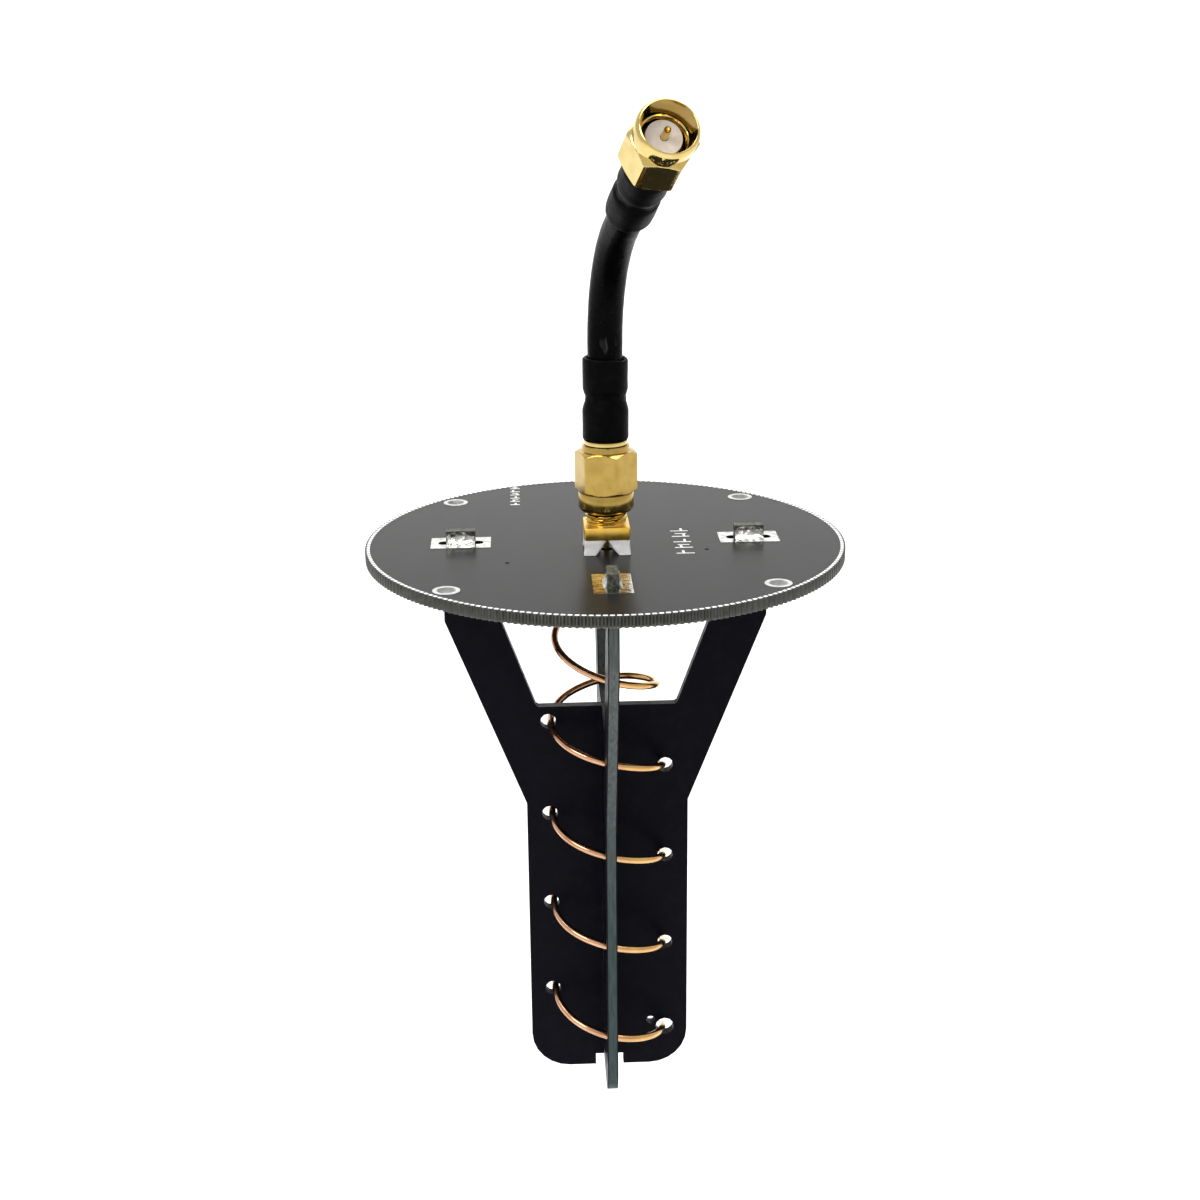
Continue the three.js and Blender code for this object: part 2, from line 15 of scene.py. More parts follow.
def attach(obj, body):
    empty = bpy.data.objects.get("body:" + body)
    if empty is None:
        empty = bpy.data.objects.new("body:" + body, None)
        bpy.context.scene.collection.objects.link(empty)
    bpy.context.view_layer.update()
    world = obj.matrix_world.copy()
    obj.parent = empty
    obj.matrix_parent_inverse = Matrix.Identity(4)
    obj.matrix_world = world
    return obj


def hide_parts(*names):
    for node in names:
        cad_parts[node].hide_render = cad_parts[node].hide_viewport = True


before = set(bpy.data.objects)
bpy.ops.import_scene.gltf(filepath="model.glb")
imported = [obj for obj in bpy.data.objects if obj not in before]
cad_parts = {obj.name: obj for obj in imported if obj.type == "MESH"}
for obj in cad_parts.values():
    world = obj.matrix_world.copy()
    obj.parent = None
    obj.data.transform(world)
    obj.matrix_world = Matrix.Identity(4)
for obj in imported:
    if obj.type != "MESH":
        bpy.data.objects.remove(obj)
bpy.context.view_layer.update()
random.seed(58)

MM = 0.001
TAU = 2 * math.pi

# ------------------------------------------------------------------ dimensions, millimetres

BOARD = 1.6
REFLECTOR_R = 35
RIM_HOLES = 237                         # plated half holes round the edge
RIM_PAD_R = 34.42                       # where the plated edge begins on the faces
MOUNT_HALF = 22.5
TAB_AT = 21.1
TAB_HALF = 2.15
TAB_PROUD = 2
LEG_HALF_PITCH = 2.54
JACK_Y = -4.6
THREAD_PITCH = 0.7056
NUT_FLAT = 7.94
NUT_CORNER_R = 4.53
NUT_COLUMNS = 144
BRIGHT_STEPS = 12                       # rows of thread near a nut's mouth that catch the light; the deeper rows get painted shade
PLUG_MOUTH_Z = 6
LOWER_BOOT_END = 22
UPPER_BOOT_END = 22.6
CABLE_R = 2.475
CABLE_START = 14.9
LOWER_PLUG_SPIN = -0.218
UPPER_PLUG_SPIN = -0.167

HELIX_R = 8.85
FREE_R = 7.7
HELIX_PITCH = 15.15
HELIX_TOP_HOLE_Z = -28.1
HELIX_HELD_TURNS = 3.5
HELIX_FREE_TURNS = 1.69
WIRE_R = 0.55
HOLE_PULL = 0.35
SAG = [
    (-1.7, 2.1), (-1, 2.1), (-0.72, 2.5), (-0.5, 2.1), (-0.25, 0.75), (-0.1, 0.65), (0.1, 0),
    (3, 0), (3.25, 0.45), (3.5, 0),
]

# The cable jacket's centreline, in metres, from the lower plug to the upper one.
LEAD_ROUTE = [
    (0, -0.0046, 0.0209),
    (0, -0.0046, 0.0231),
    (0, -0.0046, 0.0253),
    (0, -0.0046, 0.0275),
    (0, -0.0046, 0.02965),
    (0.000032, -0.004762, 0.032239),
    (0.000126, -0.005244, 0.034786),
    (0.000283, -0.006038, 0.037251),
    (0.000498, -0.007133, 0.039593),
    (0.000768, -0.00851, 0.041775),
    (0.00109, -0.010147, 0.043761),
    (0.001457, -0.012017, 0.04552),
    (0.001865, -0.014091, 0.047024),
    (0.002269, -0.016149, 0.048324),
    (0.002673, -0.018207, 0.049623),
    (0.003078, -0.020264, 0.050923),
    (0.003482, -0.022322, 0.052222),
    (0.003886, -0.02438, 0.053522),
]

# ------------------------------------------------------------------ camera


def set_camera():
    azimuth, elevation, roll = (math.radians(a) for a in (-2.416, 18.291, -0.554))
    back = Vector((
        math.sin(azimuth) * math.cos(elevation),
        -math.cos(azimuth) * math.cos(elevation),
        math.sin(elevation),
    ))
    level = Vector((math.cos(azimuth), math.sin(azimuth), 0))
    upright = back.cross(level)
    right = level * math.cos(roll) + upright * math.sin(roll)
    up = upright * math.cos(roll) - level * math.sin(roll)
    data = bpy.data.cameras.new("camera")
    data.lens = 55.48
    data.sensor_width = 36
    data.clip_start = 0.01
    data.clip_end = 20
    camera = bpy.data.objects.new("camera", data)
    turn = Matrix((right, up, back)).transposed().to_4x4()
    camera.matrix_world = Matrix.Translation((-0.01180, -0.26011, 0.07679)) @ turn
    bpy.context.collection.objects.link(camera)
    bpy.context.scene.camera = camera


set_camera()

# ------------------------------------------------------------------ mesh helpers


def smoothstep(x):
    t = min(max(x, 0), 1)
    return t * t * (3 - 2 * t)


def finish_piece(name, verts, faces, look, body, slot, nodes=(), sharp=32, deep=()):
    """Makes a piece from millimetre points. It rides on a body and may replace CAD nodes.

    The faces numbered in deep get painted shade: a near-black gold in place of the shade inside a
    cavity.
    """
    mesh = bpy.data.meshes.new(name)
    mesh.from_pydata([Vector(v) * MM for v in verts], [], faces)
    mesh.polygons.foreach_set("use_smooth", [True] * len(mesh.polygons))
    mesh.set_sharp_from_angle(angle=math.radians(sharp))
    mesh.materials.append(look)
    # The deep faces take the near-black gold: painted shade.
    if deep:
        mesh.materials.append(SHADE_GOLD)
        for i in deep:
            mesh.polygons[i].material_index = 1
    piece = bpy.data.objects.new(name, mesh)
    bpy.context.collection.objects.link(piece)
    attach(piece, body)
    if nodes:
        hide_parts(*nodes)
    return piece


def grid_faces(rows, columns, close_rows=False):
    """Quads of a grid whose columns run round and close on themselves."""
    faces = []
    for i in range(rows if close_rows else rows - 1):
        for j in range(columns):
            a, b = i * columns + j, i * columns + (j + 1) % columns
            c, d = ((i + 1) % rows) * columns + (j + 1) % columns, ((i + 1) % rows) * columns + j
            faces.append((a, b, c, d))
    return faces


def soften(profile, radius, closed=True, steps=3):
    """Rounds the corners of a profile of (radius, height) points."""
    count = len(profile)
    rounded = []
    for i, spot in enumerate(profile):
        if not closed and i in (0, count - 1):
            rounded.append(spot)
            continue
        here = Vector(spot)
        to_last = Vector(profile[i - 1]) - here
        to_next = Vector(profile[(i + 1) % count]) - here
        reach = min(radius, to_last.length * 0.45, to_next.length * 0.45)
        start, end = here + to_last.normalized() * reach, here + to_next.normalized() * reach
        for k in range(steps + 1):
            t = k / steps
            rounded.append(tuple(start * (1 - t) ** 2 + here * 2 * t * (1 - t) + end * t ** 2))
    return rounded


def turned_points(profile, segments, at, wobble=None):
    """Points of a profile turned about the Z axis of the placing matrix."""
    verts = []
    for radius, height in profile:
        for j in range(segments):
            angle = TAU * j / segments
            r = radius + (wobble(radius, height, angle) if wobble else 0)
            verts.append(at @ Vector((r * math.cos(angle), r * math.sin(angle), height)))
    return verts


def turned_ring(profile, segments, at, wobble=None):
    """A closed profile turned into a ring."""
    return turned_points(profile, segments, at, wobble), grid_faces(len(profile), segments, True)


def turned_solid(profile, segments, at, wobble=None):
    """A profile turned into a solid whose two ends are closed by flat caps."""
    verts = turned_points(profile, segments, at, wobble)
    faces = grid_faces(len(profile), segments)
    last = (len(profile) - 1) * segments
    faces.append(tuple(reversed(range(segments))))
    faces.append(tuple(range(last, last + segments)))
    return verts, faces


def frames_along(points):
    """A turning-free pair of cross directions for each point of a path."""
    tangents = []
    for i in range(len(points)):
        ahead, behind = points[min(i + 1, len(points) - 1)], points[max(i - 1, 0)]
        tangents.append((ahead - behind).normalized())
    side = tangents[0].orthogonal().normalized()
    pairs = []
    for tangent in tangents:
        side = (side - tangent * side.dot(tangent)).normalized()
        pairs.append((side, tangent.cross(side)))
    return pairs


def swept(points, radius, sides, wobble=None):
    """A round rod along a path, closed at both ends."""
    verts = []
    for i, (point, (side, over)) in enumerate(zip(points, frames_along(points))):
        for j in range(sides):
            angle = TAU * j / sides
            r = radius(i) + (wobble(i, angle) if wobble else 0)
            verts.append(point + side * (r * math.cos(angle)) + over * (r * math.sin(angle)))
    faces = grid_faces(len(points), sides)
    last = (len(points) - 1) * sides
    faces.append(tuple(reversed(range(sides))))
    faces.append(tuple(range(last, last + sides)))
    return verts, faces


def smooth_path(points, per_span=6):
    """A smooth line through points."""
    points = [Vector(p) for p in points]
    ends = [points[0] * 2 - points[1]] + points + [points[-1] * 2 - points[-2]]
    line = []
    for i in range(1, len(ends) - 2):
        a, b, c, d = ends[i - 1:i + 3]
        for k in range(per_span):
            t = k / per_span
            line.append(0.5 * (
                2 * b + (c - a) * t
                + (2 * a - 5 * b + 4 * c - d) * t * t
                + (3 * b - a - 3 * c + d) * t ** 3
            ))
    line.append(points[-1])
    return line


def merged(parts):
    """Joins several (points, faces) pairs into one."""
    verts, faces = [], []
    for part_verts, part_faces in parts:
        base = len(verts)
        verts += list(part_verts)
        faces += [tuple(i + base for i in face) for face in part_faces]
    return verts, faces


def bumpy(point, scale, depth):
    return noise.noise(Vector(point) * scale) * depth


# ------------------------------------------------------------------ material helpers


class Look:
    """A principled material whose sockets are fed by procedural nodes in object space."""

    def __init__(self, name, color, roughness, metallic=0.0, **fixed):
        self.material = bpy.data.materials.new(name)
        self.material.use_nodes = True
        self.nodes = self.material.node_tree.nodes
        self.links = self.material.node_tree.links
        self.shader = self.nodes["Principled BSDF"]
        self.shader.inputs["Base Color"].default_value = (*color, 1)
        self.shader.inputs["Roughness"].default_value = roughness
        self.shader.inputs["Metallic"].default_value = metallic
        for socket, value in fixed.items():
            self.shader.inputs[socket.replace("_", " ")].default_value = value
        self.coordinates = self.nodes.new("ShaderNodeTexCoord")

    def add(self, kind, **settings):
        node = self.nodes.new(kind)
        for key, value in settings.items():
            setattr(node, key, value)
        return node

    def noise(self, scale, detail=4, stretch=(1, 1, 1), distortion=0.0):
        """Noise with features of about 1 / scale metres."""
        mapping = self.add("ShaderNodeMapping")
        mapping.inputs["Scale"].default_value = stretch
        self.links.new(self.coordinates.outputs["Object"], mapping.inputs["Vector"])
        texture = self.add("ShaderNodeTexNoise")
        texture.inputs["Scale"].default_value = scale
        texture.inputs["Detail"].default_value = detail
        texture.inputs["Distortion"].default_value = distortion
        self.links.new(mapping.outputs["Vector"], texture.inputs["Vector"])
        return texture.outputs["Fac"]

    def remap(self, value, low, high, to_low, to_high):
        node = self.add("ShaderNodeMapRange")
        for socket, number in zip(("From Min", "From Max", "To Min", "To Max"),
                                  (low, high, to_low, to_high)):
            node.inputs[socket].default_value = number
        self.links.new(value, node.inputs["Value"])
        return node.outputs["Result"]

    def math(self, operation, a, b=0.0):
        node = self.add("ShaderNodeMath", operation=operation)
        for socket, value in zip(node.inputs, (a, b)):
            if isinstance(value, (int, float)):
                socket.default_value = value
            else:
                self.links.new(value, socket)
        return node.outputs["Value"]

    def mix(self, factor, a, b):
        """Mixes two colours, each a triple or a socket, by a value."""
        node = self.add("ShaderNodeMix", data_type="RGBA")
        self.links.new(factor, node.inputs[0])
        for socket, value in ((node.inputs[6], a), (node.inputs[7], b)):
            if isinstance(value, tuple):
                socket.default_value = (*value, 1)
            else:
                self.links.new(value, socket)
        return node.outputs[2]

    def part(self, which, source="Object"):
        node = self.add("ShaderNodeSeparateXYZ")
        self.links.new(self.coordinates.outputs[source], node.inputs["Vector"])
        return node.outputs[which]

    def feed(self, socket, value):
        self.links.new(value, self.shader.inputs[socket])
        return self

    def bump(self, height, strength, distance):
        """Adds relief. Distance is in metres."""
        node = self.add("ShaderNodeBump")
        node.inputs["Strength"].default_value = strength
        node.inputs["Distance"].default_value = distance
        self.links.new(height, node.inputs["Height"])
        last = self.shader.inputs["Normal"]
        if last.is_linked:
            self.links.new(last.links[0].from_socket, node.inputs["Normal"])
        self.links.new(node.outputs["Normal"], last)
        return self


def mask_look():
    look = Look("solder_mask", (0.013, 0.013, 0.0125), 0.26, Specular_IOR_Level=0.06)
    grain = look.remap(look.noise(2600, 3), 0.35, 0.65, 0, 1)
    look.feed("Base Color", look.mix(grain, (0.012, 0.012, 0.0112), (0.0145, 0.0145, 0.0135)))
    look.feed("Roughness", look.remap(look.noise(320, 2), 0.3, 0.7, 0.255, 0.265))
    return look.material


def board_look(name, across, along, pale):
    """Black mask on the faces, and bare laminate with dark borders on the cut edges.

    The laminate is painted lighter towards the top: painted light. Edges that face up keep the full
    laminate as painted light; pale is how much of it shows on edges that don't face up, the rest of
    those edges painted shade. The walls of the helix holes get painted shade too.
    """
    look = Look(name, (0.003, 0.003, 0.005), 0.4, Specular_IOR_Level=0.05)
    facing = look.math("ABSOLUTE", look.part(across, "Normal"))
    on_edge = look.math("LESS_THAN", facing, 0.5)
    depth = look.math("ABSOLUTE", look.part(across))
    core = look.math("LESS_THAN", depth, 0.00064)
    height = look.part("Z")
    weave = look.remap(look.noise(3000, 3, (1, 1, 0.12)), 0.3, 0.7, 0, 1)
    # Lighter laminate towards the top of the boards: painted light.
    low = look.mix(weave, (0.034, 0.049, 0.051), (0.058, 0.078, 0.079))
    high = look.mix(weave, (0.070, 0.084, 0.081), (0.130, 0.142, 0.136))
    laminate = look.mix(look.remap(height, -0.060, -0.010, 0, 1), low, high)
    # Up-facing edges keep the laminate, other edges mostly take the dark colour: painted light and
    # shade.
    upward = look.math("GREATER_THAN", look.part("Z", "Normal"), 0.9)
    shade = look.math("MAXIMUM", upward, pale)
    # The walls of the helix holes take the dark colour instead of laminate: painted shade.
    sideways = look.math("ABSOLUTE", look.part(along))
    far_out = look.math("GREATER_THAN", sideways, 0.0065)
    not_rim = look.math("LESS_THAN", sideways, 0.0108)
    below_fork = look.math("LESS_THAN", height, -0.0262)
    above_end = look.math("GREATER_THAN", height, -0.0850)
    shaded_hole_wall = look.math("MULTIPLY", look.math("MULTIPLY", far_out, not_rim),
                        look.math("MULTIPLY", below_fork, above_end))
    core = look.math("MULTIPLY", core, look.math("SUBTRACT", 1.0, shaded_hole_wall))
    core = look.math("MULTIPLY", core, shade)
    edge = look.mix(core, (0.006, 0.007, 0.009), laminate)
    speck = look.remap(look.noise(700, 4), 0.45, 0.8, 0, 1)
    face = look.mix(speck, (0.0020, 0.0019, 0.0048), (0.0036, 0.0035, 0.0075))
    body = look.mix(on_edge, face, edge)
    in_tab = look.math("GREATER_THAN", height, -0.0017)
    stain = look.mix(look.remap(look.noise(1900, 3), 0.35, 0.65, 0, 1),
                     (0.030, 0.032, 0.024), (0.115, 0.118, 0.098))
    look.feed("Base Color", look.mix(in_tab, body, stain))
    look.feed("Roughness", look.remap(look.noise(900, 3), 0.3, 0.7, 0.30, 0.46))
    look.bump(look.noise(4200, 3), 0.10, 0.00003)
    return look.material


def tin_look(name, color, dark, rough=(0.22, 0.42), depth=0.00006, size=1500):
    look = Look(name, color, 0.3, 1.0)
    patches = look.remap(look.noise(size, 4, distortion=0.6), 0.36, 0.64, 0, 1)
    look.feed("Base Color", look.mix(patches, dark, color))
    look.feed("Roughness", look.remap(look.noise(size * 1.7, 3), 0.3, 0.7, *rough))
    look.bump(look.noise(size * 0.8, 4, distortion=0.8), 0.6, depth)
    return look.material


def gold_look(name, color, deep, rough=(0.12, 0.24)):
    """Gold plate over turned brass: fine rings round the part, and small stains."""
    look = Look(name, color, 0.2, 1.0)
    stains = look.remap(look.noise(500, 5), 0.40, 0.72, 0, 1)
    look.feed("Base Color", look.mix(stains, color, deep))
    look.feed("Roughness", look.remap(look.noise(1300, 4), 0.3, 0.7, *rough))
    look.bump(look.noise(2400, 3, (0.15, 0.15, 3.2)), 0.10, 0.00002)
    return look.material


def copper_look():
    """Enamelled copper, painted pinker on one side of the helix and more golden on the other as a
    painted reflection.
    """
    look = Look("enamelled_copper", (0.62, 0.34, 0.17), 0.2, 1.0)
    look.shader.inputs["Coat Weight"].default_value = 0.5
    look.shader.inputs["Coat Roughness"].default_value = 0.08
    look.shader.inputs["Coat IOR"].default_value = 1.5
    tone = look.remap(look.noise(260, 4), 0.35, 0.65, 0, 1)
    pink = look.mix(tone, (0.70, 0.40, 0.24), (0.52, 0.27, 0.14))
    golden = look.mix(tone, (0.74, 0.44, 0.15), (0.58, 0.31, 0.09))
    # Pink towards -X and golden towards +X: a painted reflection, not the copper's own colour.
    side = look.remap(look.part("X"), -0.002, 0.004, 0, 1)
    look.feed("Base Color", look.mix(side, pink, golden))
    look.feed("Roughness", look.remap(look.noise(2200, 3), 0.3, 0.7, 0.14, 0.26))
    look.bump(look.noise(1400, 3), 0.2, 0.00003)
    return look.material


def jacket_look():
    """Extruded vinyl: satin, with long faint drawing lines and pale scuffs low on the lead."""
    look = Look("cable_jacket", (0.0006, 0.0006, 0.0007), 0.26, Specular_IOR_Level=0.035)
    scuffs = look.remap(look.noise(900, 5, (1, 1, 0.35), 0.8), 0.62, 0.74, 0, 1)
    low = look.remap(look.part("Z"), 0.036, 0.028, 0, 1)
    worn = look.math("MULTIPLY", scuffs, low)
    look.feed("Base Color", look.mix(worn, (0.0006, 0.0006, 0.0007), (0.040, 0.039, 0.038)))
    look.feed("Roughness", look.remap(look.noise(1200, 4), 0.3, 0.7, 0.24, 0.4))
    look.bump(look.noise(3600, 3, (1, 1, 0.1)), 0.18, 0.00003)
    return look.material


def shrink_look():
    look = Look("shrink_sleeve", (0.002, 0.002, 0.0024), 0.5, Specular_IOR_Level=0.035)
    look.feed("Base Color", look.mix(look.remap(look.noise(800, 4), 0.4, 0.7, 0, 1),
                                     (0.0008, 0.0008, 0.0011), (0.0022, 0.0022, 0.0028)))
    look.feed("Roughness", look.remap(look.noise(1500, 4), 0.3, 0.7, 0.36, 0.52))
    look.bump(look.noise(1500, 4), 0.35, 0.00008)
    return look.material


def plain_look(name, color, other, rough, scale=1500, depth=0.00003, **fixed):
    look = Look(name, color, rough, **fixed)
    look.feed("Base Color", look.mix(look.remap(look.noise(scale, 4), 0.35, 0.65, 0, 1),
                                     color, other))
    look.bump(look.noise(scale * 2, 3), 0.2, depth)
    return look.material


def braid_look():
    """Crossing bundles of fine tinned wire."""
    look = Look("braid", (0.6, 0.6, 0.58), 0.35, 1.0)
    wave = look.add("ShaderNodeTexWave", bands_direction="DIAGONAL")
    wave.inputs["Scale"].default_value = 900
    look.links.new(look.coordinates.outputs["Object"], wave.inputs["Vector"])
    look.feed("Base Color", look.mix(wave.outputs["Fac"], (0.32, 0.32, 0.31), (0.75, 0.75, 0.72)))
    look.bump(wave.outputs["Fac"], 0.7, 0.00008)
    return look.material


MASK = mask_look()
BOARD_A_LOOK = board_look("black_laminate_a", "Y", "X", 0.12)
BOARD_B_LOOK = board_look("black_laminate_b", "X", "Y", 1.0)
TIN = tin_look("land_tin", (0.86, 0.85, 0.83), (0.40, 0.39, 0.36), (0.08, 0.2), 0.00012, 1100)
EYE_TIN = plain_look("eyelet_tin", (0.56, 0.56, 0.55), (0.38, 0.38, 0.37), 0.3, 1200,
                     Metallic=0.3)
TAB_TIN = tin_look("tab_solder", (0.66, 0.66, 0.61), (0.16, 0.16, 0.14), (0.1, 0.25), 0.0004, 900)
# Near-white, barely metallic solder for the legs and the feed joint: painted light.
LIT_SOLDER_TIN = tin_look("leg_solder", (0.97, 0.96, 0.94), (0.84, 0.83, 0.80), (0.25, 0.45), 0.00008, 700)
LIT_SOLDER_TIN.node_tree.nodes["Principled BSDF"].inputs["Metallic"].default_value = 0.15
# A dark copy of the plating colour for the rim's side: painted shade.
SHADED_RIM_SIDE = plain_look("rim_side_painted_shade", (0.085, 0.085, 0.077), (0.062, 0.062, 0.056), 0.35, 900,
                      Metallic=0.7)
RIM_PADS = plain_look("rim_pads", (0.90, 0.90, 0.89), (0.80, 0.80, 0.79), 0.4, Metallic=0.25)
NUT_GOLD = gold_look("nut_gold", (0.49, 0.335, 0.090), (0.40, 0.260, 0.060), (0.12, 0.2))
PLUG_GOLD = gold_look("plug_gold", (0.68, 0.525, 0.20), (0.60, 0.44, 0.14), (0.06, 0.12))
JACK_GOLD = gold_look("jack_gold", (0.60, 0.38, 0.07), (0.40, 0.24, 0.035), (0.12, 0.22))
# A brighter copy of the jack's gold for the flange: painted light.
LIT_FLANGE_GOLD = gold_look("flange_gold_painted_light", (1.0, 0.66, 0.13), (0.90, 0.52, 0.07), (0.30, 0.45))
# Near-black gold: painted shade for the deep walls inside a nut.
SHADE_GOLD = gold_look("painted_shade_gold", (0.012, 0.008, 0.004), (0.006, 0.004, 0.002), (0.5, 0.7))
COPPER = copper_look()
PTFE = plain_look("fluoropolymer", (0.80, 0.74, 0.72), (0.72, 0.66, 0.64), 0.42,
                  Subsurface_Weight=0.2, Subsurface_Scale=0.0006)
RUBBER = plain_look("gasket_rubber", (0.010, 0.007, 0.006), (0.018, 0.013, 0.011), 0.6)
SHRINK = shrink_look()
JACKET = jacket_look()
BRAID = braid_look()
INK = plain_look("marking_ink", (0.72, 0.72, 0.70), (0.55, 0.55, 0.54), 0.5, 2500)

# ------------------------------------------------------------------ lead: cable first


ROUTE = [Vector(point) / MM for point in LEAD_ROUTE]
UP = Vector((0, 0, 1))
ALONG = (ROUTE[-1] - ROUTE[-6]).normalized()
UPPER_MOUTH = ROUTE[-1] + ALONG * CABLE_START


def make_cable():
    line = smooth_path(ROUTE, 4)

    def ripple(i, angle):
        spot = Vector((math.cos(angle) * 2, math.sin(angle) * 2, i * 0.5))
        return bumpy(spot, 0.9, 0.02)

    verts, faces = swept(line, lambda i: CABLE_R - 0.01, 48, ripple)
    cable = finish_piece("cable", verts, faces, JACKET, "lead", "cable_jacket", ["cable_jacket"])
    on_it = [
        "upper_retaining_ring", "upper_crimped_braid", "upper_crimp_ferrule",
        "lower_crimped_braid", "lower_crimp_ferrule",
        "cable_braid", "cable_insulation", "cable_core",
    ]
    return cable, line, on_it


CABLE, CABLE_LINE, ON_CABLE = make_cable()

# ------------------------------------------------------------------ plugs

LOWER = Matrix.Translation((0, JACK_Y, PLUG_MOUTH_Z)) @ Matrix.Rotation(LOWER_PLUG_SPIN, 4, "Z")


def upper_place():
    level = ALONG.cross(UP).normalized()
    corner = Matrix.Rotation(UPPER_PLUG_SPIN, 3, ALONG) @ level
    back = -ALONG
    turn = Matrix((corner, back.cross(corner), back)).transposed().to_4x4()
    return Matrix.Translation(UPPER_MOUTH) @ turn


UPPER = upper_place()


def thread_wave(height, angle, phase=0.0):
    """A flattened triangle wave, 1 on a right-hand thread's crest and 0 at its root."""
    turn = (height / THREAD_PITCH - angle / TAU + phase) % 1
    return min(max(1.25 - 3 * abs(turn - 0.5), 0) / 0.95, 1)


def nut_outside(at):
    """The nut's outer skin as rows of points: collar, chamfered hexagon and rear shoulder."""
    rows = [(3.52, 0.0), (3.62, 0.04), (3.72, 0.14), (3.94, 0.5), (3.97, 0.62), (3.97, 2.55),
            (3.93, 2.68), (3.86, 2.74)]
    rows += [(3.95 + 0.61 * k / 8, 2.78 + 0.42 * k / 8) for k in range(9)]
    rows += [(4.7, 3.4), (4.7, 8.05)]
    rows += [(4.56 - 0.66 * k / 8, 8.28 + 0.42 * k / 8) for k in range(9)]
    rows += [(3.55, 8.74), (3.42, 8.80), (3.38, 9.45), (3.28, 9.58), (3.1, 9.6)]
    columns = NUT_COLUMNS
    verts = []
    for radius, height in rows:
        for j in range(columns):
            angle = TAU * j / columns
            off_middle = (angle % (TAU / 6)) - TAU / 12
            hexagon = min(NUT_FLAT / 2 / math.cos(off_middle), NUT_CORNER_R)
            r = min(radius, hexagon) if 2.76 < height < 8.73 else radius
            verts.append(at @ Vector((r * math.cos(angle), r * math.sin(angle), height)))
    return verts, rows, columns


def nut_mesh(at):
    verts, rows, columns = nut_outside(at)
    inside = [(2.68, 9.6), (2.65, 9.5), (2.65, 7.9), (3.0, 7.9), (3.0, 7.1), (2.65, 7.1),
              (2.65, 6.15), (2.7, 6.1), (3.16, 6.08)]
    inside = [(r, h, 0) for r, h in inside]
    top, bottom = 6.0, 2.85
    steps = 40
    inside += [(3.17, top - (top - bottom) * k / steps, 1) for k in range(steps + 1)]
    inside += [(3.06, 2.75, 0), (3.06, 2.65, 0), (3.18, 2.1, 0), (3.28, 1.4, 0),
               (3.38, 0.7, 0), (3.47, 0.1, 0), (3.49, 0.02, 0)]
    for radius, height, threaded in inside:
        for j in range(columns):
            angle = TAU * j / columns
            r = radius - 0.27 * threaded * thread_wave(height + PLUG_MOUTH_Z, angle)
            verts.append(at @ Vector((r * math.cos(angle), r * math.sin(angle), height)))
    first = (len(rows) + 8) * columns
    # Thread rows deeper than BRIGHT_STEPS from the mouth get painted shade.
    deep = range(first, first + (steps - BRIGHT_STEPS) * columns)
    return verts, grid_faces(len(rows) + len(inside), columns, True), deep


def boot_mesh(at, end, seed):
    """Shrunk sleeve that follows the ferrule, necks in, and wraps the cable."""
    outer = [(3.02, 10.33), (3.16, 10.36), (3.26, 10.55), (3.29, 11.0)]
    outer += [(3.29 - 0.02 * math.sin(math.pi * k / 7), 11.0 + 3.4 * k / 7) for k in range(1, 8)]
    for k in range(1, 11):
        t = k / 10
        outer.append((3.28 - 0.42 * smoothstep(t), 14.4 + 1.9 * t))
    for k in range(1, 13):
        t = k / 12
        outer.append((2.86 + 0.33 * smoothstep(t), 16.3 + 1.5 * t))
    span = end - 0.35 - 17.8
    outer += [(3.19 + 0.02 * math.sin(math.pi * k / 8), 17.8 + span * k / 8) for k in range(1, 9)]
    outer += [(3.14, end - 0.15), (3.0, end - 0.02), (2.85, end)]
    inner = [(2.66, end - 0.1), (2.62, end - 0.5), (2.62, 16.0), (2.95, 15.66), (2.97, 10.6)]

    def shrink(radius, height, angle):
        if radius < 2.8 and height > 12:
            return 0
        spot = Vector((math.cos(angle) * 2.2, math.sin(angle) * 2.2, height * 0.8 + seed))
        fold = math.exp(-((height - 16.3) / 0.9) ** 2)
        edge = math.exp(-((height - end) / 0.5) ** 2)
        ridges = math.sin(height * 7 + 2 * math.sin(angle * 2 + seed)) * 0.035 * fold
        ridges += bumpy(spot, 1.4, 0.10) * (fold + edge)
        return min(bumpy(spot, 0.6, 0.05) + ridges, 0.09)

    profile = outer + inner
    verts = turned_points(profile, 64, Matrix.Identity(4), shrink)
    lip = []
    for i, vert in enumerate(verts):
        height = profile[i // 64][1]
        angle = TAU * (i % 64) / 64
        ragged = smoothstep((height - end + 1.2) / 1.2)
        shift = ragged * (0.22 * math.sin(angle + seed) + 0.12 * math.sin(3 * angle + 2 * seed))
        lip.append(at @ (vert - Vector((0, 0, max(shift, 0)))))
    return lip, grid_faces(len(profile), 64, True)


